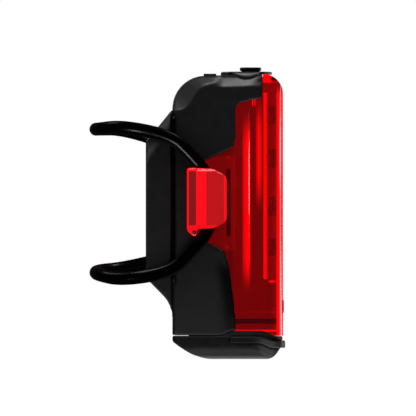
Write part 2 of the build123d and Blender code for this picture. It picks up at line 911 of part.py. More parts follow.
def build():
    """Makes every piece, keyed by its node name."""
    room_below = below_mouth(0)
    wing_layer = wings()
    jacket = make_jacket(room_below)
    hook = make_hook()
    return {
        "rear_housing": make_housing(room_below, wing_layer),
        "rubber_jacket": jacket,
        "mount_pad": make_pad(),
        "lens_shell": make_lens(room_below, jacket, wing_layer),
        "lens_gasket": make_gasket(room_below),
        "strap_hook_near": hook,
        "strap_hook_far": mirror(hook, about=Plane.XZ),
        "strap_ring": make_ring(),
        "button_boot": make_boot(),
        "button_cap": make_button_cap(),
        "button_plunger": make_plunger(),
        "switch_stem": make_stem(),
        "tact_switch": make_switch(),
        "indicator_window": make_lamp(),
        "status_led": make_status_led(),
        "top_board": make_top_board(),
        "main_board": make_main_board(),
        "board_chips": make_chips(),
        "board_header": make_header(),
        "board_screws": make_board_screws(),
        "led_board": make_led_board(),
        "leds": make_leds(),
        "light_bar": make_light_bar(),
        "chassis": make_chassis(),
        "battery_cell": make_cell(),
        "battery_foam": make_foam(),
        "battery_leads": make_leads(),
        "battery_plug": make_plug(),
        "usb_socket": make_usb(),
        "case_screws": make_case_screws(),
        "sensor_window": pane_block(pane_sink),
        "end_cap": make_end_cap(),
        "cap_plug": make_cap_plug(),
        "cap_seal": make_cap_seal(),
        "cap_rim": make_cap_rim(),
        "cap_grip": make_grip(),
    }


os.makedirs("parts", exist_ok=True)
for name, solid in build().items():
    export_step(solid, "parts/" + name + ".step")
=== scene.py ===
import json
import math

import bmesh
import bpy
import numpy as np
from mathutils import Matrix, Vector


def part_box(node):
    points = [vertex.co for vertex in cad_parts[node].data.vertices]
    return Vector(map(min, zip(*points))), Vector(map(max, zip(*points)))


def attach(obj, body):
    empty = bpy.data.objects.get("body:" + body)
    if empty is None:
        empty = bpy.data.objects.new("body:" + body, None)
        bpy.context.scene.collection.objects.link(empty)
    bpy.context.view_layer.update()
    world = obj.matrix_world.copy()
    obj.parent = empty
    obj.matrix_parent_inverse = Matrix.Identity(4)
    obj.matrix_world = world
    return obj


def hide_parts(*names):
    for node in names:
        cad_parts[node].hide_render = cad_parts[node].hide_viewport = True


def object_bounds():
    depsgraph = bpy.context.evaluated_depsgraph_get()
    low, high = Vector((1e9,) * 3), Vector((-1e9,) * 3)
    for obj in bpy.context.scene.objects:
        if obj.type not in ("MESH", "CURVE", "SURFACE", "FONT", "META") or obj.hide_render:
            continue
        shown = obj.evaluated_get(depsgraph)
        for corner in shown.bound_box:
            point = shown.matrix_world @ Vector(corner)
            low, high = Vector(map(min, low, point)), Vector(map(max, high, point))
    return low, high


bl_info = {
    "name": "Bicycle rear light",
    "version": (1, 0, 0),
    "blender": (4, 5, 0),
    "location": "3D View > Sidebar > Rear light",
    "description": "Finishes a seatpost rear light with a red lens, rubber jacket and elastic strap",
    "category": "Object",
}

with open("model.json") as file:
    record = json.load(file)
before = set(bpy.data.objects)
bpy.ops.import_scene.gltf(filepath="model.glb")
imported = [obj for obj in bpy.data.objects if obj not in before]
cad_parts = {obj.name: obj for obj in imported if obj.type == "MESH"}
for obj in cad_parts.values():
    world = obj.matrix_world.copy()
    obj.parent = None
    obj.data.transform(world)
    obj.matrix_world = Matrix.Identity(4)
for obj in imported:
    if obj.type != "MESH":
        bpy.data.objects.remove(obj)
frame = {"nodes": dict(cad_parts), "record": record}
cad_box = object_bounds()

MM = 0.001

jacket_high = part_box("rubber_jacket")[1]
ring_low, ring_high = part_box("strap_ring")
button_low, button_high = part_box("button_cap")
boot_low, boot_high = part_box("button_boot")

# Body that each node rides on, and its material slot
BODIES = frame["record"]["behaviour"]["bodies"]
BODY_OF = {node: body for body, nodes in BODIES.items() for node in nodes}
SLOT_OF = {row["node"]: row["material_slot"] for row in frame["record"]["subparts"]}


def length(name, description, default):
    """Length that the panel shows."""
    return bpy.props.FloatProperty(name=name, description=description, default=default, unit="LENGTH")


def swatch(name, description, default):
    """Colour that the panel shows."""
    return bpy.props.FloatVectorProperty(
        name=name, description=description, default=default, subtype="COLOR")


class RearLightSizes(bpy.types.PropertyGroup):
    """Sizes of the pieces that are modelled here."""

    loop_depth: length("Loop depth", "From the cradle groove to the cord in the hooks", 14.8 * MM)
    loop_reach: length("Loop reach", "From the cradle groove to the cord behind the post", 17.5 * MM)
    cord_thickness: length("Cord thickness", "Diameter of the elastic ring", 3.6 * MM)
    rib_count: bpy.props.IntProperty(
        name="Cradle ribs", description="Grip ribs across the cradle groove", default=9)
    rib_pitch: length("Rib pitch", "From one cradle rib to the next", 3.6 * MM)
    rib_height: length("Rib height", "How far a cradle rib stands out", 0.35 * MM)
    post_radius: length("Groove radius", "Radius of the cradle groove", 17.0 * MM)


class RearLightColours(bpy.types.PropertyGroup):
    """Colours of the finishes."""

    rubber: swatch("Rubber", "Soft-touch black", (0.0058, 0.0058, 0.006))
    plastic: swatch("Plastic", "Satin black", (0.0058, 0.0058, 0.006))
    cord: swatch("Cord", "Elastic black", (0.0012, 0.0012, 0.0013))
    lens: swatch("Lens", "Deep translucent red", (0.33, 0.0004, 0.001))
    hook: swatch("Hook", "Bright translucent red", (1.0, 0.008, 0.016))


class RearLightStage(bpy.types.PropertyGroup):
    """Floor, lights and camera."""

    frame_width: length("Frame width", "Width that the picture takes in", 114.4 * MM)
    centre_x: length("Centre X", "Place along the light that the camera looks at", 13.31 * MM)
    centre_z: length("Centre Z", "Height that the camera looks at", -1.24 * MM)
    distance: length("Camera distance", "From the middle plane to the camera", 4.0)
    floor_size: length("Floor size", "Side of the floor", 1.6)


def sizes():
    return bpy.context.scene.rear_light_sizes


def colours():
    return bpy.context.scene.rear_light_colours


# Meshes

WELD = 0.002 * MM             # points of a drawn mesh that lie closer than this are one
CAD_WELD = 0.001 * MM         # the same for a copy of a CAD mesh
CREASE_ANGLE = 28             # degrees past which an edge of a hard piece stays crisp
FLAT_SIDE = 0.99999           # a face whose normal's Y is past this is part of a flat flank
NEAR_SIDE = 0.95              # a corner of it whose normal's Y is past this is shaded flat
SMOOTH_FACTOR = 0.5
CURVE_ORDER = 3
CURVE_STEPS = 12


def link(name, data):
    """New object with this mesh, curve, lamp or camera, at the origin."""
    piece = bpy.data.objects.new(name, data)
    bpy.context.scene.collection.objects.link(piece)
    return piece


def mesh_from(name, points, faces, drawn=True):
    """Mesh with one point where several meet. The faces of a drawn one are turned outwards."""
    mesh = bpy.data.meshes.new(name)
    mesh.from_pydata([tuple(p) for p in points], [], faces)
    work = bmesh.new()
    work.from_mesh(mesh)
    bmesh.ops.remove_doubles(work, verts=work.verts, dist=WELD if drawn else CAD_WELD)
    if drawn:
        bmesh.ops.recalc_face_normals(work, faces=work.faces)
    work.to_mesh(mesh)
    work.free()
    return mesh


def shade(mesh):
    """Shades every face smooth."""
    mesh.polygons.foreach_set("use_smooth", [True] * len(mesh.polygons))


def merged_copy(node, name):
    """Copy of a CAD node's mesh as one connected skin."""
    source = frame["nodes"][node].data
    source.calc_loop_triangles()
    points = [v.co for v in source.vertices]
    faces = [tuple(t.vertices) for t in source.loop_triangles]
    return mesh_from(name, points, faces, drawn=False)


def evaluated(piece):
    """Mesh of a piece with its modifiers applied."""
    graph = bpy.context.evaluated_depsgraph_get()
    return bpy.data.meshes.new_from_object(piece.evaluated_get(graph))


def settle(piece):
    """Replaces a piece's mesh with its evaluated one, and takes its modifiers off."""
    mesh = evaluated(piece)
    piece.modifiers.clear()
    piece.data = mesh
    shade(mesh)
    return piece


def moulded(node, name, grid, rounds, shape=None):
    """Soft stand-in for a node: reshaped if asked, and every edge rounded as a moulding's is."""
    piece = link(name, merged_copy(node, node + "_soft"))
    remesh = piece.modifiers.new("Skin", "REMESH")
    remesh.mode = "VOXEL"
    remesh.voxel_size = grid
    settle(piece)
    if shape:
        points = np.empty(3 * len(piece.data.vertices))
        piece.data.vertices.foreach_get("co", points)
        points = points.reshape(-1, 3)
        shape(points)
        piece.data.vertices.foreach_set("co", points.ravel())
        piece.data.update()
    smooth = piece.modifiers.new("Round", "SMOOTH")
    smooth.factor = SMOOTH_FACTOR
    smooth.iterations = rounds
    return stand_for(settle(piece), node)


def smooth_copy(node, name):
    """Copy of a hard node whose curved faces are shaded as curves and whose edges stay crisp."""
    mesh = merged_copy(node, name)
    shade(mesh)
    mesh.set_sharp_from_angle(angle=math.radians(CREASE_ANGLE))
    level_flanks(mesh)
    return link(name, mesh)


def level_flanks(mesh):
    """Shades the flat flanks flat, up to the line where they turn into the nose."""
    mesh.update()
    sides = {}
    for face in mesh.polygons:
        if abs(face.normal.y) > FLAT_SIDE:
            for vertex in face.vertices:
                sides.setdefault(vertex, set()).add(math.copysign(1.0, face.normal.y))
    normals = [corner.vector.copy() for corner in mesh.corner_normals]
    for loop, normal in zip(mesh.loops, normals):
        for side in sides.get(loop.vertex_index, ()):
            if normal.y * side > NEAR_SIDE:
                normal[:] = (0.0, side, 0.0)
    mesh.normals_split_custom_set(normals)


def part_way(place, start, run):
    """Share of a run that a place has behind it, from 0 to 1. A run below nought goes down."""
    return np.clip((place - start) / run, 0.0, 1.0)


def onset(place, start, run):
    """The same, as a smooth step."""
    t = part_way(place, start, run)
    return t * t * (3 - 2 * t)


def round_sag(radius, way):
    """How far a round has fallen off at a distance from where it starts."""
    return radius - np.sqrt(radius ** 2 - way ** 2)


def distance_to_line(x, z, line):
    """From each point to a line of straight stretches, on the side view."""
    near = np.full(len(x), np.inf)
    for (ax, az), (bx, bz) in zip(line, line[1:]):
        along = ((x - ax) * (bx - ax) + (z - az) * (bz - az)) / ((bx - ax) ** 2 + (bz - az) ** 2)
        along = np.clip(along, 0.0, 1.0)
        near = np.minimum(near, np.hypot(x - ax - along * (bx - ax), z - az - along * (bz - az)))
    return near


# Jacket's roof, in millimetres. Its long edges are rounds in the CAD and soft slopes here.
HALF_WIDTH = round(jacket_high.y / MM, 3)
ROOF_FALL = 0.95              # towards the seatpost, over the roof's run
ROOF_RUN = 30.4
ROOF_PEAK = 5.53              # where the run starts, past the jacket's front
EDGE_ROUND = 3.0
SLOPE_INSET = 2.2             # from the flank to the slope's upper edge
SLOPE_DEPTH = 3.15            # from the roof to its lower edge
SLOPE_START = (14.6, 3.2)     # by the shoulder, and over how far it comes in
SLOPE_END = (28.6, -0.6)      # by the lens, and over how far it goes out
SLOPE_INNER = (5.5, 3.0)      # from the middle plane, and over how far it comes in


def roof_line(x):
    """Height of the jacket's roof at a place along the light."""
    return jacket_high.z / MM - ROOF_FALL * (jacket_high.x / MM + ROOF_PEAK - x) / ROOF_RUN


def roof_share(x):
    """Where along the light the roof's long edges slope: from the shoulder to the lens."""
    return onset(x, *SLOPE_START) * onset(x, *SLOPE_END)


def slope_jacket(points):
    """Draws the roof's long edges into a soft slope."""
    x, y, z = points.T / MM
    deep = roof_line(x) - z
    round_inset = round_sag(EDGE_ROUND, np.clip(EDGE_ROUND - deep, 0.0, EDGE_ROUND))
    slope_inset = SLOPE_INSET * (1.0 - np.clip(deep / SLOPE_DEPTH, 0.0, 1.0))
    inward = (slope_inset - round_inset) * onset(abs(y), *SLOPE_INNER) * roof_share(x)
    points[:, 1] -= np.sign(y) * inward * MM


# Boot round the button, in millimetres
WING_SPREAD = 0.35            # share by which a wing widens on its way down
WING_START = (7.0, 3.0)       # from the middle plane, and over how far it widens
BOOT_WALL = 0.3               # at the thinnest
BOOT_FILL = 0.25              # thicker by this over the slope, and the drop that brings it in
BOOT_FILL_DROP = (0.0, 0.8)


def slope_boot(points):
    """Lays the boot's wings down on the jacket's sloping edges, and widens them as they go down."""
    middle = (boot_low.x + boot_high.x) / 2
    widen = 1.0 + WING_SPREAD * onset(abs(points[:, 1]) / MM, *WING_START)
    points[:, 0] = middle + (points[:, 0] - middle) * widen
    x, y, z = points.T / MM
    top = roof_line(x)
    side = np.clip(HALF_WIDTH - abs(y), 0.0, HALF_WIDTH)
    round_drop = round_sag(EDGE_ROUND, np.clip(EDGE_ROUND - side, 0.0, EDGE_ROUND))
    slope_drop = SLOPE_DEPTH * np.clip(1.0 - side / SLOPE_INSET, 0.0, 1.0)
    drop = round_drop + (slope_drop - round_drop) * roof_share(x)
    wall = np.maximum(boot_high.z / MM - top, BOOT_WALL)
    share = np.clip((z - top + round_drop) / (wall + round_drop), 0.0, 1.0)
    wall = wall + BOOT_FILL * onset(slope_drop, *BOOT_FILL_DROP)
    points[:, 2] = (top - drop + share * wall) * MM


# Geometry Nodes trees


def new_tree(name, inputs):
    """Tree with a geometry in and out, a material and the named inputs."""
    tree = bpy.data.node_groups.new(name, "GeometryNodeTree")
    tree.interface.new_socket("Geometry", in_out="OUTPUT", socket_type="NodeSocketGeometry")
    tree.interface.new_socket("Geometry", in_out="INPUT", socket_type="NodeSocketGeometry")
    for label, kind in list(inputs) + [("Material", "Material")]:
        tree.interface.new_socket(label, in_out="INPUT", socket_type="NodeSocket" + kind)
    return tree, tree.nodes.new("NodeGroupInput")


def close_tree(tree, start, geometry):
    """Ends a tree: real geometry, smooth, with its material."""
    for kind in ("RealizeInstances", "SetShadeSmooth", "SetMaterial"):
        step = tree.nodes.new("GeometryNode" + kind)
        tree.links.new(geometry, step.inputs["Geometry"])
        geometry = step.outputs["Geometry"]
    tree.links.new(start.outputs["Material"], step.inputs["Material"])
    tree.links.new(geometry, tree.nodes.new("NodeGroupOutput").inputs["Geometry"])
    return tree


def sweep_tree():
    """Round bar along a curve."""
    tree, start = new_tree("round_bar", [("Thickness", "Float"), ("Sides", "Int")])
    half = tree.nodes.new("ShaderNodeMath")
    half.operation = "MULTIPLY"
    half.inputs[1].default_value = 0.5
    section = tree.nodes.new("GeometryNodeCurvePrimitiveCircle")
    sweep = tree.nodes.new("GeometryNodeCurveToMesh")
    sweep.inputs["Fill Caps"].default_value = True
    tree.links.new(start.outputs["Thickness"], half.inputs[0])
    tree.links.new(half.outputs["Value"], section.inputs["Radius"])
    tree.links.new(start.outputs["Sides"], section.inputs["Resolution"])
    tree.links.new(start.outputs["Geometry"], sweep.inputs["Curve"])
    tree.links.new(section.outputs["Curve"], sweep.inputs["Profile Curve"])
    return close_tree(tree, start, sweep.outputs["Mesh"])


def row_tree():
    """Straight row of copies."""
    tree, start = new_tree("row_of_copies", [("Count", "Int"), ("Step", "Vector")])
    line = tree.nodes.new("GeometryNodeMeshLine")
    place = tree.nodes.new("GeometryNodeInstanceOnPoints")
    tree.links.new(start.outputs["Count"], line.inputs["Count"])
    tree.links.new(start.outputs["Step"], line.inputs["Offset"])
    tree.links.new(line.outputs["Mesh"], place.inputs["Points"])
    tree.links.new(start.outputs["Geometry"], place.inputs["Instance"])
    return close_tree(tree, start, place.outputs["Instances"])


def grow(piece, tree, **values):
    """Runs a tree on a piece and keeps its result as a plain mesh."""
    work = piece.modifiers.new(tree.name, "NODES")
    work.node_group = tree
    for item in tree.interface.items_tree:
        if item.in_out == "INPUT" and item.name in values:
            work[item.identifier] = values[item.name]
    mesh = evaluated(piece)
    name = piece.name
    bpy.data.objects.remove(piece)
    bpy.data.node_groups.remove(tree)
    return link(name, mesh)


def route_curve(name, points, closed):
    """Smooth curve with these control points."""
    curve = bpy.data.curves.new(name, "CURVE")
    curve.dimensions = "3D"
    spline = curve.splines.new("NURBS")
    spline.points.add(len(points) - 1)
    for spot, point in zip(spline.points, points):
        spot.co = (*point, 1.0)
    spline.order_u = CURVE_ORDER
    spline.use_cyclic_u = closed
    spline.use_endpoint_u = not closed
    spline.resolution_u = CURVE_STEPS
    return link(name, curve)


def stand_for(piece, node, finish=None):
    """The piece replaces a CAD node: same body, same slot, better finish."""
    slot = SLOT_OF[node]
    piece.data.materials.clear()
    piece.data.materials.append(finish or finish_for(slot))
    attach(piece, BODY_OF[node])
    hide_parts(node)
    return piece


# Materials

CLEAR_IOR = 1.49
BLACK = (0.0, 0.0, 0.0)
NOISE_RANGE = (0.3, 0.7)      # where most of a noise's values lie


class Finish:
    """A procedural material under construction."""

    def __init__(self, name, colour, roughness):
        self.material = bpy.data.materials.new(name)
        self.material.use_nodes = True
        self.tree = self.material.node_tree
        self.shader = self.tree.nodes["Principled BSDF"]
        self.set("Base Color", colour)
        self.set("Roughness", roughness)
        self.place = self.node("ShaderNodeTexCoord").outputs["Object"]

    def feed(self, socket, value):
        """Sets a socket to a number or a colour, or wires an output to it."""
        if isinstance(value, (int, float)):
            socket.default_value = value
        elif isinstance(value, tuple):
            socket.default_value = (*value, 1.0)
        else:
            self.tree.links.new(value, socket)

    def set(self, socket, value):
        """Feeds a socket of the shader."""
        self.feed(self.shader.inputs[socket], value)

    def node(self, kind, sockets=None, **values):
        """New node with these settings, and these sockets fed."""
        made = self.tree.nodes.new(kind)
        for key, value in values.items():
            setattr(made, key, value)
        for key, value in (sockets or {}).items():
            self.feed(made.inputs[key], value)
        return made

    def noise(self, scale, detail=2.0):
        """Noise at so many features to a metre."""
        sockets = {"Vector": self.place, "Scale": scale, "Detail": detail}
        return self.node("ShaderNodeTexNoise", sockets).outputs["Fac"]

    def ranged(self, source, before, after, **values):
        """Maps one range to another."""
        sockets = dict(zip(("From Min", "From Max", "To Min", "To Max"), (*before, *after)))
        return self.node("ShaderNodeMapRange", {"Value": source, **sockets}, **values).outputs["Result"]

    def spread(self, source, low, high):
        """Maps a noise's middle range to low..high."""
        return self.ranged(source, NOISE_RANGE, (low, high))

    def roughen(self, scale, low, high, detail=2.0):
        """Roughness that wanders between low and high."""
        self.set("Roughness", self.spread(self.noise(scale, detail), low, high))

    def tint(self, source, first, second):
        """Base colour that goes from first to second as source goes from 0 to 1."""
        self.set("Base Color", self.colour_between(source, first, second))

    def axes(self):
        """Object X, Y and Z."""
        split = self.node("ShaderNodeSeparateXYZ", {"Vector": self.place})
        return split.outputs["X"], split.outputs["Y"], split.outputs["Z"]

    def rise(self, source, start, end):
        """Soft step from 0 at start to 1 at end, in millimetres."""
        span = (min(start, end) * MM, max(start, end) * MM)
        levels = (0.0, 1.0) if end > start else (1.0, 0.0)
        return self.ranged(source, span, levels, interpolation_type="SMOOTHSTEP")

    def maths(self, operation, first, second=0.0):
        """Result of a sum on numbers or outputs."""
        return self.node("ShaderNodeMath", {0: first, 1: second}, operation=operation).outputs["Value"]

    def both(self, first, second):
        """Product of two masks or levels."""
        return self.maths("MULTIPLY", first, second)

    def window(self, source, low, high, soft):
        """1 between low and high, with soft edges."""
        up = self.rise(source, low - soft, low + soft)
        down = self.rise(source, high + soft, high - soft)
        return self.both(up, down)

    def patch(self, x, z, x_span, z_span, x_soft, z_soft):
        """1 inside a rectangle of the side view, with soft edges."""
        return self.both(self.window(x, *x_span, x_soft), self.window(z, *z_span, z_soft))

    def mix(self, kind, mask, first, second):
        """Goes from first to second with the mask."""
        sockets = {"Factor": mask, "A": first, "B": second}
        return self.node("ShaderNodeMix", sockets, data_type=kind).outputs["Result"]

    def blend(self, mask, first, second):
        """Number between two numbers or outputs."""
        return self.mix("FLOAT", mask, first, second)

    def colour_between(self, mask, first, second):
        """Colour between two colours or outputs."""
        return self.mix("RGBA", mask, first, second)

    def bump(self, source, depth, strength):
        """Fine relief of so much depth."""
        made = self.node("ShaderNodeBump", {"Height": source, "Strength": strength, "Distance": depth})
        self.set("Normal", made.outputs["Normal"])


def lighter(colour, share):
    """Colour with so much of its light; darker below 1."""
    return tuple(c * share for c in colour)


# Painted shadows on the jacket, in millimetres: in the groove beside the pad, and along the sunk edge by
# the lens below the hook, which leans
SEAM_X = (3.0, 4.3)
SEAM_Z = (-20.5, 24.3)
SEAM_SOFT = (0.06, 1.2)
BRINK_LEAN = 0.126
BRINK_X = (11.8, 15.5)
BRINK_Y = (11.0, 11.4)
BRINK_TOP = (-14.0, -19.0)
BRINK_FOOT = (-36.0, -35.4)
SHADOW_TINT = 0.1
SHADOW_ROUGHNESS = 0.22


def soft_rubber():
    """Soft-touch jacket rubber: fine even grain, a little cloudy in its sheen, with painted shade in two
    places.
    """
    base = tuple(colours().rubber)
    made = Finish("soft_touch_rubber", base, roughness=0.36)
    x, y, z = made.axes()
    # Painted shade, as a darker colour, in the groove and along the sunk edge
    seam = made.patch(x, z, SEAM_X, SEAM_Z, *SEAM_SOFT)
    lean = made.maths("ADD", x, made.maths("MULTIPLY", z, BRINK_LEAN))
    side = made.rise(made.maths("ABSOLUTE", y), *BRINK_Y)
    low = made.both(made.rise(z, *BRINK_TOP), made.rise(z, *BRINK_FOOT))
    brink = made.both(made.rise(lean, *BRINK_X), made.both(low, side))
    dark = made.maths("MAXIMUM", seam, brink)
    cloud = made.spread(made.noise(scale=260.0, detail=3.0), low=1.2, high=0.85)
    made.tint(made.both(cloud, made.blend(dark, 1.0, SHADOW_TINT)), BLACK, base)
    gloss = made.spread(made.noise(scale=420.0, detail=3.0), low=0.32, high=0.41)
    made.set("Roughness", made.blend(dark, gloss, SHADOW_ROUGHNESS))
    made.bump(made.noise(scale=9000.0, detail=1.0), depth=0.012 * MM, strength=0.6)
    made.set("Specular IOR Level", 0.23)
    return made.material


def cord_rubber():
    """Smooth elastic cord, a little uneven in its gloss."""
    base = tuple(colours().cord)
    made = Finish("elastic_cord", base, roughness=0.3)
    made.roughen(scale=400.0, low=0.23, high=0.28, detail=1.0)
    cloud = made.spread(made.noise(scale=500.0), low=0.0, high=1.0)
    made.tint(cloud, lighter(base, 0.8), lighter(base, 1.3))
    made.set("Specular IOR Level", 0.2)
    return made.material


def satin_plastic():
    """Moulded black plastic with a fine spark-eroded grain."""
    base = tuple(colours().plastic)
    made = Finish("satin_black_plastic", base, roughness=0.36)
    cloud = made.spread(made.noise(scale=300.0), low=0.0, high=1.0)
    made.tint(cloud, lighter(base, 0.9), lighter(base, 1.2))
    made.roughen(scale=600.0, low=0.31, high=0.42)
    made.bump(made.noise(scale=7000.0, detail=1.0), depth=0.01 * MM, strength=0.5)
    made.set("Specular IOR Level", 0.25)
    return made.material


def seal_rubber():
    """Duller, harder rubber of the seals."""
    base = tuple(colours().rubber)
    made = Finish("seal_rubber", lighter(base, 0.7), roughness=0.55)
    made.set("Specular IOR Level", 0.2)
    made.roughen(scale=900.0, low=0.48, high=0.62)
    made.bump(made.noise(scale=6000.0, detail=1.0), depth=0.01 * MM, strength=0.4)
    return made.material


# Windows in the light bar, one for each LED, in millimetres: Z from and to
LED_WINDOWS = [(21.7, 26.7), (9.85, 14.85), (-3.4, 1.85), (-14.3, -9.4)]
WINDOW_X = (29.6, 32.1)
WINDOW_SOFT = 0.06

# Painted shade of the end cap's seal, where it shows through the lens
SEAL_X = (20.6, 32.4)
SEAL_Z = (-33.0, -31.6)
SEAL_SOFT = 0.1
SEAL_TINT = 0.15

# Painted light in the lens, as emission: places on the side view with painted highlights and glow, or
# with
# painted shade, in millimetres: X from and to, Z from and to, softness along X and Z, and glow. A later
# place covers an earlier one.
LENS_ZONES = [
    ("wing", (0.0, 20.8), (-13.0, 13.0), 0.3, 0.3, 0.14),
    ("shade beside the hook", (18.3, 19.5), (-9.0, 9.5), 0.15, 0.5, 0.02),
    ("upper wing line", (19.7, 19.9), (2.8, 9.5), 0.06, 0.1, 0.2),
    ("lower wing line", (19.7, 19.9), (-10.4, -1.1), 0.06, 0.1, 0.18),
    ("wing edge", (21.1, 21.25), (-6.9, 7.9), 0.06, 0.1, 0.16),
    ("upper wing corner", (18.3, 19.2), (12.3, 13.1), 0.4, 0.35, 0.25),
    ("lower wing corner", (18.2, 19.0), (-12.3, -11.5), 0.4, 0.35, 0.3),
    ("brow", (28.3, 34.0), (30.4, 36.0), 0.05, 0.05, 0.02),
    ("window column", (29.55, 32.15), (-36.2, 30.4), 0.08, 0.08, 0.07),
    ("painted rear highlight band", (22.9, 24.8), (-19.0, 20.0), 0.4, 6.0, 0.5),
    ("painted rear highlight band's core", (23.7, 24.75), (-17.0, 18.0), 0.2, 7.0, 0.9),
    ("painted front highlight band", (26.6, 27.95), (3.0, 24.0), 0.35, 6.0, 0.64),
    ("line before the board", (28.0, 28.25), (-20.8, 30.4), 0.05, 0.1, 0.02),
    ("board's edge", (28.45, 29.35), (-20.7, 30.4), 0.05, 0.1, 0.62),
    ("foot of the windows", (30.0, 31.4), (-21.7, -21.1), 0.3, 0.25, 0.8),
    ("first glint", (25.4, 25.7), (26.8, 28.6), 0.06, 0.3, 0.9),
    ("second glint", (26.0, 26.3), (26.8, 28.6), 0.06, 0.3, 0.7),
    ("painted brow-corner highlight", (28.4, 30.6), (33.2, 35.6), 0.4, 0.4, 0.95),
    ("seal", SEAL_X, SEAL_Z, SEAL_SOFT, SEAL_SOFT, 0.035),
    ("line below the seal", (20.6, 32.2), (-35.15, -34.65), 0.12, 0.12, 0.8),
]
LENS_ZONES += [("LED window", WINDOW_X, span, WINDOW_SOFT, WINDOW_SOFT, 0.0) for span in LED_WINDOWS]
# Painted glow of the lens where no place sets it
LENS_DEEP = 0.085             # glow elsewhere

# Painted light that the lens gives out as emission at no glow and at full glow, and the painted highlight
# on its rim
LENS_DARK = (0.0, 0.0008, 0.0012)
LENS_BRIGHT = (1.0, 0.0, 0.002)
LENS_RIM = (1.0, 0.7, 0.75)

# Painted glow on the nose of the lens and in front of its LED windows, and a painted highlight on its
# rim,
# in millimetres: from where a part starts to where it is full
NOSE_X = (32.0, 32.35)
NOSE_Y = (2.6, 3.4)
NOSE_TOP = (33.0, 29.0)
NOSE_GLOW = 0.9
FRONT_X = (33.2, 33.6)
FRONT_Y = (2.8, 2.2)
FRONT_SOFT = 0.3
FRONT_GLOW = 0.4
RIM_X = (32.95, 33.3)
RIM_SOFT = 0.12
RIM_TOP = (32.0, 28.0)
GLEAM_Z = (6.0, 22.0)
GLEAM_SOFT = 5.0
GLEAM = (0.09, 0.45)


def red_lens():
    """Clear-moulded deep red, with painted light as emission: highlight bands, glints, glow and a rim
    highlight.
    """
    base = tuple(colours().lens)
    made = Finish("deep_red_lens", base, roughness=0.04)
    made.roughen(scale=300.0, low=0.02, high=0.04)
    made.set("Transmission Weight", 0.75)
    made.set("IOR", CLEAR_IOR)
    x, y, z = made.axes()
    out_from_middle = made.maths("ABSOLUTE", y)
    # Painted shade over the seal, in the base colour
    shadow = made.patch(x, z, SEAL_X, SEAL_Z, SEAL_SOFT, SEAL_SOFT)
    made.tint(shadow, base, lighter(base, SEAL_TINT))
    # Painted highlights, glow and shade, place by place
    glow = LENS_DEEP
    for name, x_span, z_span, x_soft, z_soft, level in LENS_ZONES:
        glow = made.blend(made.patch(x, z, x_span, z_span, x_soft, z_soft), glow, level)
        glow.node.label = name
    # Painted glow on the nose and in front of the LED windows
    flank = made.rise(out_from_middle, *NOSE_Y)
    nose = made.both(made.both(made.rise(x, *NOSE_X), flank), made.rise(z, *NOSE_TOP))
    glow = made.blend(nose, glow, NOSE_GLOW)
    front = made.both(made.rise(x, *FRONT_X), made.rise(out_from_middle, *FRONT_Y))
    for z_span in LED_WINDOWS:
        glow = made.blend(made.both(front, made.window(z, *z_span, FRONT_SOFT)), glow, FRONT_GLOW)
    red = made.colour_between(glow, LENS_DARK, LENS_BRIGHT)
    # Painted highlight along the rim of the nose
    rim = made.both(made.window(x, *RIM_X, RIM_SOFT), made.rise(z, *RIM_TOP))
    gleam = made.blend(made.window(z, *GLEAM_Z, GLEAM_SOFT), *GLEAM)
    rim = made.both(made.both(rim, flank), gleam)
    made.set("Emission Color", made.colour_between(rim, red, LENS_RIM))
    made.set("Emission Strength", 1.0)
    return made.material


# Bands of painted glow across the hook, in millimetres from the seatpost: where each ends, and its red
HOOK_BANDS = [
    (8.0, 0.95), (10.1, 0.18), (12.8, 1.0), (13.1, 0.36),
    (16.75, 0.42), (16.95, 0.33), (17.8, 0.43), (19.0, 0.95),
]
BAND_SOFT = 0.12
# Painted rim light along the hook's top and foot, in millimetres: where it starts and where it is full,
# and its red
HOOK_TOP = (8.5, 9.3)
HOOK_TOP_RED = 1.0
HOOK_FOOT = (-5.7, -6.5)
HOOK_FOOT_RED = 0.95
# Painted shade in the hollow of the lower lobe, and a painted highlight along the top edge: X from and
# to, Z from and to, and softness along X and Z
HOOK_HOLLOW = ((8.95, 10.2), (-8.5, -7.3), 0.2, 0.2)
HOOK_HOLLOW_RED = 0.02
HOOK_SHINE = ((10.6, 15.0), (8.93, 9.07), 0.9, 0.1)
HOOK_SHINE_SHARE = 0.6
HOOK_SHINE_TINT = (1.0, 0.7, 0.72)
HOOK_TINT = (0.01, 0.006, 0.006)
HOOK_DARK = (0.01, 0.006, 0.008)
HOOK_BRIGHT = (0.9, 0.002, 0.006)


def red_hook():
    """Brighter, thicker red moulding, with painted light as emission: glow bands, rim light along its
    edges, shade in its hollow and a highlight along its top.
    """
    base = tuple(colours().hook)
    made = Finish("bright_red_hook", base, roughness=0.12)
    made.roughen(scale=500.0, low=0.1, high=0.18)
    x, _, z = made.axes()
    level = HOOK_BANDS[0][1]
    for (edge, _), (_, after) in zip(HOOK_BANDS, HOOK_BANDS[1:]):
        level = made.blend(made.rise(x, edge - BAND_SOFT, edge + BAND_SOFT), level, after)
    level = made.blend(made.rise(z, *HOOK_TOP), level, HOOK_TOP_RED)
    level = made.blend(made.rise(z, *HOOK_FOOT), level, HOOK_FOOT_RED)
    # Painted shade in the hollow
    level = made.blend(made.patch(x, z, *HOOK_HOLLOW), level, HOOK_HOLLOW_RED)
    made.tint(level, HOOK_TINT, lighter(base, 0.5))
    red = made.colour_between(level, HOOK_DARK, HOOK_BRIGHT)
    # Painted highlight along the top edge
    shine = made.both(made.patch(x, z, *HOOK_SHINE), HOOK_SHINE_SHARE)
    made.set("Emission Color", made.colour_between(shine, red, HOOK_SHINE_TINT))
    made.set("Emission Strength", 1.0)
    made.set("Transmission Weight", 0.2)
    made.set("IOR", CLEAR_IOR)
    return made.material


PLAIN_SHADE = 0.88            # darkest share of a small part's colour
PLAIN_GLOSSIEST = 0.02


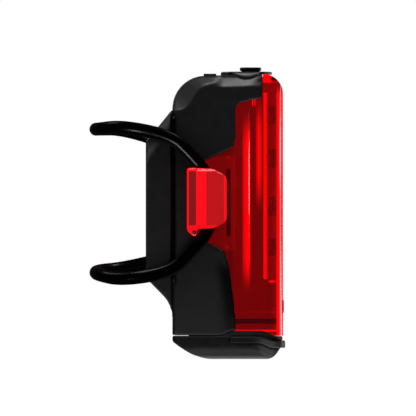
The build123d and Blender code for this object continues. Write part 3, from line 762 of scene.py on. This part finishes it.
def plain(name, colour, roughness, metallic=0.0, scale=800.0, swing=0.08):
    """Small hard parts: slight unevenness in colour and gloss."""
    made = Finish(name, colour, roughness)
    made.set("Metallic", metallic)
    cloud = made.spread(made.noise(scale), low=0.0, high=1.0)
    made.tint(cloud, lighter(colour, PLAIN_SHADE), colour)
    made.roughen(scale, max(roughness - swing, PLAIN_GLOSSIEST), roughness + swing)
    return made


def lit(made, strength):
    """Stands in light that the lens lets in."""
    made.set("Emission Color", (1.0, 0.95, 0.9))
    made.set("Emission Strength", strength)
    return made.material


def clear_bar():
    made = plain("frosted_bar", (0.92, 0.9, 0.88), roughness=0.3)
    made.set("Transmission Weight", 0.6)
    made.set("IOR", CLEAR_IOR)
    return made.material


def smoke_window():
    made = plain("smoked_window", (0.02, 0.02, 0.022), roughness=0.14)
    made.set("Coat Weight", 0.3)
    return made.material


def board_mask():
    made = plain("green_mask", (0.03, 0.12, 0.06), roughness=0.35)
    made.bump(made.noise(scale=2500.0), depth=0.02 * MM, strength=0.5)
    return made.material


FINISHES = {
    "case_black": satin_plastic,
    "soft_black": soft_rubber,
    "strap_rubber": cord_rubber,
    "lens_red": red_lens,
    "hook_red": red_hook,
    "seal": seal_rubber,
    "board": board_mask,
    "bar_clear": clear_bar,
    "smoke": smoke_window,
    "board_white": lambda: lit(plain("white_mask", (0.9, 0.88, 0.86), 0.4), 0.25),
    "led": lambda: lit(plain("led_resin", (0.95, 0.85, 0.6), 0.2), 0.4),
    "steel": lambda: plain("bright_steel", (0.62, 0.62, 0.64), 0.3, metallic=1.0, scale=3000.0).material,
    "cell_wrap": lambda: plain("cell_wrap", (0.08, 0.2, 0.42), 0.25).material,
    "foam": lambda: plain("closed_foam", (0.05, 0.05, 0.05), 0.8, scale=4000.0).material,
    "wire": lambda: plain("wire_cover", (0.4, 0.02, 0.02), 0.4).material,
    "plug_white": lambda: plain("natural_nylon", (0.78, 0.75, 0.68), 0.45).material,
    "chip": lambda: plain("chip_resin", (0.02, 0.02, 0.02), 0.5, scale=5000.0).material,
}
made_finishes = {}


def finish_for(slot):
    """The material of a record slot, made once."""
    if slot not in made_finishes:
        made_finishes[slot] = FINISHES[slot]()
    return made_finishes[slot]


# Pieces


class REARLIGHT_OT_hard_parts(bpy.types.Operator):
    """Finish of every hard piece that keeps its own solid"""

    bl_idname = "rearlight.hard_parts"
    bl_label = "Hard parts"

    def execute(self, context):
        for node, piece in frame["nodes"].items():
            finish = finish_for(SLOT_OF[node])
            for slot in piece.material_slots:
                slot.material = finish
        return {"FINISHED"}


# Groove in the jacket beside the cradle pad, in millimetres: each end, and how far it takes to deepen
GROOVE_FRONT = (4.35, -0.2)
GROOVE_TOP = (24.5, -1.5)
GROOVE_FOOT = (-22.5, 2.0)
GROOVE_DEPTH = 1.4

# Edge of the jacket that sinks to the lens below the hook, in millimetres
SUNK_EDGE = [(17.7, -12.9), (19.2, -17.5), (20.9, -31.0), (20.9, -37.0)]
SUNK_DEPTH = 0.32
SUNK_REACH = 3.2
SUNK_POWER = 1.6
SUNK_TOP = (-13.0, -6.0)      # and how far it takes to deepen
FLANK = 11.6                  # points farther from the middle plane than this lie on the flank


class REARLIGHT_OT_jacket(bpy.types.Operator):
    """Rubber jacket with its seam groove, its sloping roof edges and its sunk edge by the lens"""

    bl_idname = "rearlight.jacket"
    bl_label = "Rubber jacket"

    def shape(self, points):
        x, y, z = points.T / MM
        deep = onset(x, *GROOVE_FRONT) * onset(z, *GROOVE_TOP) * onset(z, *GROOVE_FOOT)
        reach = np.minimum(abs(y), HALF_WIDTH - GROOVE_DEPTH * deep)
        near = distance_to_line(x, z, SUNK_EDGE)
        sink = SUNK_DEPTH * np.clip(1 - near / SUNK_REACH, 0.0, 1.0) ** SUNK_POWER
        sink = sink * onset(z, *SUNK_TOP) * (abs(y) > FLANK)
        points[:, 1] = np.sign(y) * (reach - sink) * MM
        slope_jacket(points)

    def execute(self, context):
        moulded("rubber_jacket", "jacket", grid=0.4 * MM, rounds=5, shape=self.shape)
        return {"FINISHED"}


# Cradle pad, in millimetres
TIP_X = (-2.8, -0.6)          # where its wing tips start, which stand out farther than the CAD's
TIP_GROWTH = 0.16
SLANT_AT = (-3.6, 14.5)       # a place on its upper slanting edge, whose surface turns in
SLANT_ACROSS = (0.853, -0.523)
SLANT_TURN = 0.9
SLANT_REACH = 2.6
SLANT_LIMIT = 1.2
SLANT_POWER = 1.6
SLANT_FOOT = (10.0, 3.0)
SLANT_INNER = (6.0, 3.0)

# Grip ribs in the cradle
RIB_CLEAR = 0.1 * MM          # from the groove's surface to a rib's centre line
RIB_SUNK = 0.55 * MM          # part of a rib's thickness that lies in the pad
RIB_HALF_ANGLE = 31
RIB_STEPS = 6


class REARLIGHT_OT_pad(bpy.types.Operator):
    """Cradle pad against the seatpost, with grip ribs across its groove"""

    bl_idname = "rearlight.pad"
    bl_label = "Cradle pad"

    def shape(self, points):
        x, y, z = points.T / MM
        points[:, 0] -= TIP_GROWTH * onset(x, *TIP_X) * MM
        inside = (x - SLANT_AT[0]) * SLANT_ACROSS[0] + (z - SLANT_AT[1]) * SLANT_ACROSS[1]
        turn = SLANT_TURN * np.clip(1.0 - inside / SLANT_REACH, 0.0, SLANT_LIMIT) ** SLANT_POWER
        turn = turn * onset(z, *SLANT_FOOT)
        points[:, 1] -= np.sign(y) * turn * onset(abs(y), *SLANT_INNER) * MM

    def execute(self, context):
        s = sizes()
        moulded("mount_pad", "cradle_pad", grid=0.35 * MM, rounds=5, shape=self.shape)
        radius = s.post_radius + RIB_CLEAR
        half_angle = math.radians(RIB_HALF_ANGLE)
        low = -(s.rib_count - 1) / 2 * s.rib_pitch
        turns = [half_angle * (k / RIB_STEPS - 1) for k in range(2 * RIB_STEPS + 1)]
        points = [(radius * math.cos(a) - s.post_radius, radius * math.sin(a), low) for a in turns]
        rubber = finish_for("soft_black")
        rib = grow(route_curve("cradle_ribs", points, False), sweep_tree(),
                   Thickness=s.rib_height + RIB_SUNK, Sides=16, Material=rubber)
        ribs = grow(rib, row_tree(), Count=s.rib_count, Step=(0.0, 0.0, s.rib_pitch), Material=rubber)
        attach(ribs, BODY_OF["mount_pad"])
        return {"FINISHED"}


ROOF_WINDOW_STRETCH = 1.2
ROOF_WINDOW_SHIFT = 0.1 * MM  # back and up


class REARLIGHT_OT_lens(bpy.types.Operator):
    """Red wrap-round lens with its smooth nose, and the small windows"""

    bl_idname = "rearlight.lens"
    bl_label = "Lens and windows"

    def widen(self, points):
        low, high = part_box("indicator_window")
        centre = (low.x + high.x) / 2
        points[:, 0] = centre - ROOF_WINDOW_SHIFT + (points[:, 0] - centre) * ROOF_WINDOW_STRETCH
        points[:, 2] += ROOF_WINDOW_SHIFT

    def execute(self, context):
        stand_for(smooth_copy("lens_shell", "red_lens"), "lens_shell")
        moulded("sensor_window", "low_window", grid=0.1 * MM, rounds=2)
        moulded("indicator_window", "roof_window", grid=0.1 * MM, rounds=1, shape=self.widen)
        return {"FINISHED"}


# Hook, in millimetres: the hollow in its lower lobe, and its back lip, which is drawn in
PIT_AT = (9.55, -7.9)
PIT_HALF = (0.85, 0.75)
PIT_DEPTH = 0.8
PIT_EDGE = (1.2, -1.0)        # in halves of its size
PIT_FACE = 16.6               # from the middle plane
LIP_X = (8.6, -1.4)
LIP_INSET = 0.35


class REARLIGHT_OT_hooks(bpy.types.Operator):
    """Red strap hooks with soft edges and a hollow in each lower lobe"""

    bl_idname = "rearlight.hooks"
    bl_label = "Strap hooks"

    def shape(self, points):
        x, y, z = points.T / MM
        away = np.hypot((x - PIT_AT[0]) / PIT_HALF[0], (z - PIT_AT[1]) / PIT_HALF[1])
        pit = PIT_DEPTH * onset(away, *PIT_EDGE) * (abs(y) > PIT_FACE)
        points[:, 1] -= np.sign(y) * pit * MM
        points[:, 0] += LIP_INSET * onset(x, *LIP_X) * MM

    def execute(self, context):
        for node in ("strap_hook_near", "strap_hook_far"):
            moulded(node, node.replace("strap_", ""), grid=0.14 * MM, rounds=7, shape=self.shape)
        return {"FINISHED"}


CROSS_TURN_SHARE = 0.48       # of the ring's half width, where it turns across behind the post


def ring_points():
    """The ring's route in the same places as its solid: near side first, then over the top and back."""
    s = sizes()
    depth, reach = s.loop_depth, s.loop_reach
    side = (ring_high.y - ring_low.y - s.cord_thickness) / 2
    turn = CROSS_TURN_SHARE * side
    cross_x = [side - reach - turn, -reach, -reach, side - reach - turn]
    cross_y = [-side, -turn, turn, side]
    # X and Z beside the case, and Z behind the post, as shares of the loop's depth
    near_top = [(1.0, 0.411), (0.556, 0.93), (0.216, 1.25)]
    near_low = [(0.216, -1.272), (0.556, -0.925), (1.0, -0.405)]
    far_top = [(0.216, 1.105), (0.556, 0.878), (1.0, 0.426)]
    far_low = [(1.0, -0.297), (0.556, -0.743), (0.216, -0.995)]
    cross_top = [1.435, 1.375, 1.385, 1.39]
    cross_low = [-1.42, -1.315, -1.25, -1.21]
    points = [(x * depth, -side, z * depth) for x, z in near_top]
    points += [(x, y, z * depth) for x, y, z in zip(cross_x, cross_y, cross_top)]
    points += [(x * depth, side, z * depth) for x, z in far_top]
    points += [(x * depth, side, z * depth) for x, z in far_low]
    points += [(x, y, z * depth) for x, y, z in zip(cross_x, cross_y, cross_low)][::-1]
    points += [(x * depth, -side, z * depth) for x, z in near_low]
    return points


class REARLIGHT_OT_strap(bpy.types.Operator):
    """Closed elastic ring over both hooks"""

    bl_idname = "rearlight.strap"
    bl_label = "Strap ring"

    def execute(self, context):
        route = route_curve("elastic_ring", ring_points(), True)
        ring = grow(route, sweep_tree(), Thickness=sizes().cord_thickness, Sides=40,
                    Material=finish_for("strap_rubber"))
        stand_for(ring, "strap_ring")
        return {"FINISHED"}


DOME_ROWS = 5
DOME_SIDES = 20
DOME_SHARE = 0.42             # a dome's radius, of its LED's side
DOME_RISE_SHARE = 0.6         # its height, of its radius


class REARLIGHT_OT_led_domes(bpy.types.Operator):
    """Resin dome on each LED"""

    bl_idname = "rearlight.led_domes"
    bl_label = "LED domes"

    def execute(self, context):
        low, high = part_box("leds")
        side = high.y - low.y
        count = len(LED_WINDOWS)
        pitch = (high.z - low.z - side) / (count - 1)
        base = Vector((high.x, 0.0, low.z + side / 2))
        radius = DOME_SHARE * side
        points, faces = [], []
        for row in range(DOME_ROWS + 1):
            rise = row / DOME_ROWS * math.pi / 2
            flat = radius * math.cos(rise)
            height = DOME_RISE_SHARE * radius * math.sin(rise)
            for k in range(DOME_SIDES):
                turn = 2 * math.pi * k / DOME_SIDES
                points.append(base + Vector((height, flat * math.cos(turn), flat * math.sin(turn))))
        add_rows(faces, DOME_ROWS, DOME_SIDES)
        faces.append(tuple(range(DOME_SIDES)))
        dome = link("led_domes", mesh_from("led_domes", points, faces))
        domes = grow(dome, row_tree(), Count=count, Step=(0.0, 0.0, pitch), Material=finish_for("led"))
        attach(domes, BODY_OF["leds"])
        return {"FINISHED"}


def add_rows(faces, rows, around):
    """Faces between rings of points, row by row."""
    for row in range(rows):
        for k in range(around):
            a = row * around + k
            b = row * around + (k + 1) % around
            faces.append((a, b, b + around, a + around))


OVAL_SIDES = 96
OVAL_POWER = 2.3              # 2 is an ellipse, and more is squarer


def rounded_oval(name, centre, half_x, half_y, rows):
    """Closed oval form through rows of (height, inset)."""
    points, faces = [], []
    for height, inset in rows:
        for k in range(OVAL_SIDES):
            angle = 2 * math.pi * k / OVAL_SIDES
            c, s = math.cos(angle), math.sin(angle)
            x = (half_x - inset) * math.copysign(abs(c) ** (2 / OVAL_POWER), c)
            y = (half_y - inset) * math.copysign(abs(s) ** (2 / OVAL_POWER), s)
            points.append((centre.x + x, centre.y + y, height))
    add_rows(faces, len(rows) - 1, OVAL_SIDES)
    faces.append(tuple(range(OVAL_SIDES)))
    faces.append(tuple(range((len(rows) - 1) * OVAL_SIDES, len(rows) * OVAL_SIDES)))
    return mesh_from(name, points, faces)


# Push button, in millimetres: rows of height and inset, up from its foot, up from its crown's lower
# edge, and down from its top, which is dished
SKIRT_ROWS = [(0.0, 0.2), (0.2, 0.2), (0.4, 0.8)]
CROWN_ROWS = [(-0.1, 0.75), (0.0, 0.35), (0.15, 0.08), (0.35, 0.0)]
DISH_ROWS = [(0.0, 1.1), (-0.12, 1.6), (-0.16, 2.2)]
CROWN_HEIGHT = 1.05
CROWN_ROUND = 0.25
CROWN_STEPS = 6
CROWN_GROWTH = 0.15           # wider than the CAD's cap all round


class REARLIGHT_OT_button(bpy.types.Operator):
    """Oval push button and the rubber boot round it"""

    bl_idname = "rearlight.button"
    bl_label = "Button"

    def execute(self, context):
        low, high = button_low, button_high
        edge = CROWN_ROUND * MM
        crown_low = high.z - CROWN_HEIGHT * MM
        rows = [(low.z + height * MM, inset * MM) for height, inset in SKIRT_ROWS]
        rows += [(crown_low + height * MM, inset * MM) for height, inset in CROWN_ROWS]
        for k in range(CROWN_STEPS + 1):
            angle = k / CROWN_STEPS * math.pi / 2
            rows.append((high.z - edge + edge * math.sin(angle), edge * (1 - math.cos(angle))))
        rows += [(high.z + height * MM, inset * MM) for height, inset in DISH_ROWS]
        half_x = (high.x - low.x) / 2 + CROWN_GROWTH * MM
        half_y = (high.y - low.y) / 2 + CROWN_GROWTH * MM
        mesh = rounded_oval("push_button", (low + high) / 2, half_x, half_y, rows)
        shade(mesh)
        stand_for(link("push_button", mesh), "button_cap")
        moulded("button_boot", "boot", grid=0.2 * MM, rounds=4, shape=slope_boot)
        return {"FINISHED"}


# End cap, in millimetres: the crown of its underside near the seatpost, and that of its toe in front
BELLY_X = (2.4, 8.0)          # from, and how long
BELLY_TOP = (-37.2, -2.0)
BELLY_CROWN = 0.24
TOE_Z = (-42.6, 5.4)          # from, and how high
TOE_BACK = (29.5, 2.5)
TOE_CROWN = 0.16


class REARLIGHT_OT_cap_trim(bpy.types.Operator):
    """End cap with its finger bar and seal band, the other seals, and the soft pieces inside"""

    bl_idname = "rearlight.cap_trim"
    bl_label = "Cap trim and seals"

    def shape(self, points):
        x, _, z = points.T / MM
        belly = np.sin(math.pi * part_way(x, *BELLY_X)) * onset(z, *BELLY_TOP)
        toe = np.sin(math.pi * part_way(z, *TOE_Z)) * onset(x, *TOE_BACK)
        points[:, 2] -= BELLY_CROWN * belly * MM
        points[:, 0] += TOE_CROWN * toe * MM

    def execute(self, context):
        moulded("end_cap", "bottom_cap", grid=0.25 * MM, rounds=4, shape=self.shape)
        moulded("cap_grip", "finger_bar", grid=0.16 * MM, rounds=5)
        moulded("cap_rim", "seal_band", grid=0.16 * MM, rounds=3)
        moulded("cap_seal", "mouth_seal", grid=0.2 * MM, rounds=4)
        moulded("lens_gasket", "lens_seal", grid=0.12 * MM, rounds=2)
        foam = moulded("battery_foam", "cell_foam", grid=0.25 * MM, rounds=2)
        moulded("battery_leads", "cell_leads", grid=0.12 * MM, rounds=6)
        return {"FINISHED"}


# Stage

FLOOR_DROP = 14 * MM          # below the light
FLOOR_GLOW = 1.1              # as the camera sees it
DIM = 0.02                    # glow of the floor and the sky as the pieces see them
SENSOR_WIDTH = 36.0           # in millimetres, as Blender counts it
CLIP_SHARE = 4                # how far the camera sees, in its distances

# Pieces that some lamps reach alone, or miss
CORD = ["elastic_ring"]
LENS = ["red_lens"]
HOOKS = ["hook_near", "hook_far"]
CAP = ["bottom_cap", "finger_bar"]
ROOF = ["jacket", "boot"]
PAD = ["cradle_pad"]
LOW_MISSES = CORD + LENS + HOOKS + CAP

# Lamps: direction from what they face, distance, width and height in metres, radiance, and the
# pieces that they reach alone or miss
LAMPS = [
    ("top_box", (0.1, -0.4, 0.9), 0.7, (0.8, 0.45), 3.4, "EXCLUDE", CORD),
    ("shoulder_box", (-0.69, -0.3, 0.69), 0.8, (0.35, 0.35), 1.8, "EXCLUDE", CORD),
    ("back_box", (-0.5, 0.75, 0.5), 0.9, (0.5, 0.5), 2.0, "EXCLUDE", CORD),
    ("table_box", (0.05, -0.12, -1.0), 0.3, (0.8, 0.5), 2.0, "EXCLUDE", LOW_MISSES),
    ("front_low_box", (-0.15, -0.8, -0.57), 0.16, (0.3, 0.12), 1.0, "EXCLUDE", LOW_MISSES),
    ("cap_box", (-0.15, -0.46, -0.87), 0.16, (0.3, 0.1), 1.2, "INCLUDE", CAP),
    ("cap_edge_box", (0.0, 0.5, -0.86), 0.3, (0.6, 0.3), 2.1, "INCLUDE", CAP),
    ("cap_front_box", (0.75, -0.35, -0.55), 0.3, (0.3, 0.3), 3.6, "INCLUDE", CAP),
    ("rim_strip", (0.62, 0.78, 0.1), 0.9, (0.1, 0.7), 4.0, "EXCLUDE", CORD),
    ("roof_card", (0.0, -0.345, 0.939), 0.8, (0.3, 0.16), 22.0, "INCLUDE", ROOF),
    ("pad_card", (-0.653, -0.643, 0.4), 0.8, (0.35, 0.35), 3.5, "INCLUDE", PAD),
    ("cord_low_card", (-0.39, -0.77, -0.48), 0.12, (0.024, 0.024), 0.72, "INCLUDE", CORD),
    ("cord_inner_card", (0.0, 0.17, 0.98), 0.022, (0.02, 0.004), 1.4, "INCLUDE", CORD),
    ("cord_back_card", (-0.52, 0.25, 0.82), 0.9, (0.2, 0.3), 2.5, "INCLUDE", CORD),
    ("cord_top_card", (0.48, 0.25, 0.84), 0.9, (0.2, 0.2), 9.0, "INCLUDE", CORD),
    ("lens_card", (0.041, -1.0, 0.0067), 1.5, (0.05, 0.026), 9.0, "INCLUDE", LENS),
    ("hook_card", (0.0, -0.93, 0.37), 0.8, (0.3, 0.08), 23.0, "INCLUDE", HOOKS),
]
# What a lamp faces, in millimetres, and how wide it spreads, in degrees
AIM = ((14.0, 0.0, 0.0), 180.0)
OWN_AIMS = {
    "cord_low_card": ((3.0, -14.0, 14.5), 26.0),
    "cord_inner_card": ((-2.0, -14.0, -17.0), 60.0),
}


class REARLIGHT_OT_stage(bpy.types.Operator):
    """Pale floor, soft studio light and the camera"""

    bl_idname = "rearlight.stage"
    bl_label = "Stage"

    def lamp(self, name, toward, away, size, radiance, state, pieces):
        """Soft box that stands off in a direction and faces its aim."""
        aim, spread = OWN_AIMS.get(name, AIM)
        middle = Vector(aim) * MM
        light = bpy.data.lights.new(name, "AREA")
        light.shape = "RECTANGLE"
        light.size, light.size_y = size
        light.energy = radiance * math.pi * size[0] * size[1]
        light.spread = math.radians(spread)
        holder = link(name, light)
        holder.location = middle + Vector(toward).normalized() * away
        holder.rotation_euler = (middle - holder.location).to_track_quat("-Z", "Y").to_euler()
        holder.visible_camera = False
        self.share(holder, state, pieces)

    def share(self, lamp, state, pieces):
        """Lets a lamp reach only some pieces, or all but some."""
        group = bpy.data.collections.new(lamp.name)
        for name in pieces:
            group.objects.link(bpy.data.objects[name])
        for entry in group.collection_objects:
            entry.light_linking.link_state = state
        lamp.light_linking.receiver_collection = group

    def floor(self, stage):
        """Pale floor that glows under the object, as a lit sheet does."""
        half = stage.floor_size / 2
        level = cad_box[0].z - FLOOR_DROP
        corners = [(-half, -half, level), (half, -half, level), (half, half, level), (-half, half, level)]
        mesh = bpy.data.meshes.new("floor")
        mesh.from_pydata(corners, [], [(0, 1, 2, 3)])
        floor = link("floor", mesh)
        made = Finish("pale_floor", (0.8, 0.8, 0.8), roughness=0.9)
        made.set("Specular IOR Level", 0.0)
        made.set("Emission Color", (1.0, 1.0, 1.0))
        seen = made.node("ShaderNodeLightPath").outputs["Is Camera Ray"]
        made.set("Emission Strength", made.blend(seen, DIM, FLOOR_GLOW))
        mesh.materials.append(made.material)
        floor.visible_shadow = False
        floor.visible_glossy = False
        floor.visible_diffuse = False

    def execute(self, context):
        stage = bpy.context.scene.rear_light_stage
        bpy.context.scene.view_settings.view_transform = "Standard"
        self.floor(stage)
        self.sky()
        for row in LAMPS:
            self.lamp(*row)
        self.camera(stage)
        return {"FINISHED"}

    def sky(self):
        """White behind the object, dark where its surfaces would mirror it."""
        world = bpy.data.worlds.new("studio")
        bpy.context.scene.world = world
        world.use_nodes = True
        tree = world.node_tree
        back = tree.nodes["Background"]
        path = tree.nodes.new("ShaderNodeLightPath")
        seen = tree.nodes.new("ShaderNodeMath")
        seen.operation = "MAXIMUM"
        tree.links.new(path.outputs["Is Camera Ray"], seen.inputs[0])
        tree.links.new(path.outputs["Is Transmission Ray"], seen.inputs[1])
        level = tree.nodes.new("ShaderNodeMapRange")
        level.inputs["To Min"].default_value = DIM
        level.inputs["To Max"].default_value = 1.0
        tree.links.new(seen.outputs["Value"], level.inputs["Value"])
        tree.links.new(level.outputs["Result"], back.inputs["Strength"])
        back.inputs["Color"].default_value = (1.0, 1.0, 1.0, 1.0)

    def camera(self, stage):
        """Far camera with a long lens, square to the light's side."""
        data = bpy.data.cameras.new("camera")
        data.sensor_width = SENSOR_WIDTH
        data.lens = data.sensor_width * stage.distance / stage.frame_width
        data.clip_end = CLIP_SHARE * stage.distance
        camera = link("camera", data)
        camera.location = (stage.centre_x, -stage.distance, stage.centre_z)
        camera.rotation_euler = (math.pi / 2, 0.0, 0.0)
        bpy.context.scene.camera = camera


class REARLIGHT_PT_panel(bpy.types.Panel):
    """Lists the sizes, the colours and the steps"""

    bl_label = "Rear light"
    bl_idname = "REARLIGHT_PT_panel"
    bl_space_type = "VIEW_3D"
    bl_region_type = "UI"
    bl_category = "Rear light"

    def draw(self, context):
        for name in GROUPS:
            group = getattr(context.scene, name)
            box = self.layout.box()
            for key in group.bl_rna.properties.keys():
                if key not in ("rna_type", "name"):
                    box.prop(group, key)
        for step in STEPS:
            self.layout.operator(step.bl_idname)


STEPS = [
    REARLIGHT_OT_hard_parts, REARLIGHT_OT_jacket, REARLIGHT_OT_pad, REARLIGHT_OT_lens,
    REARLIGHT_OT_hooks, REARLIGHT_OT_strap, REARLIGHT_OT_led_domes, REARLIGHT_OT_button,
    REARLIGHT_OT_cap_trim, REARLIGHT_OT_stage,
]
GROUPS = {
    "rear_light_sizes": RearLightSizes,
    "rear_light_colours": RearLightColours,
    "rear_light_stage": RearLightStage,
}
KINDS = [*GROUPS.values(), *STEPS, REARLIGHT_PT_panel]


def register():
    for kind in KINDS:
        bpy.utils.register_class(kind)
    for name, group in GROUPS.items():
        setattr(bpy.types.Scene, name, bpy.props.PointerProperty(type=group))


def unregister():
    for name in GROUPS:
        delattr(bpy.types.Scene, name)
    for kind in reversed(KINDS):
        bpy.utils.unregister_class(kind)


def main():
    register()
    for step in STEPS:
        group, name = step.bl_idname.split(".")
        getattr(getattr(bpy.ops, group), name)()


if __name__ == "__main__":
    main()
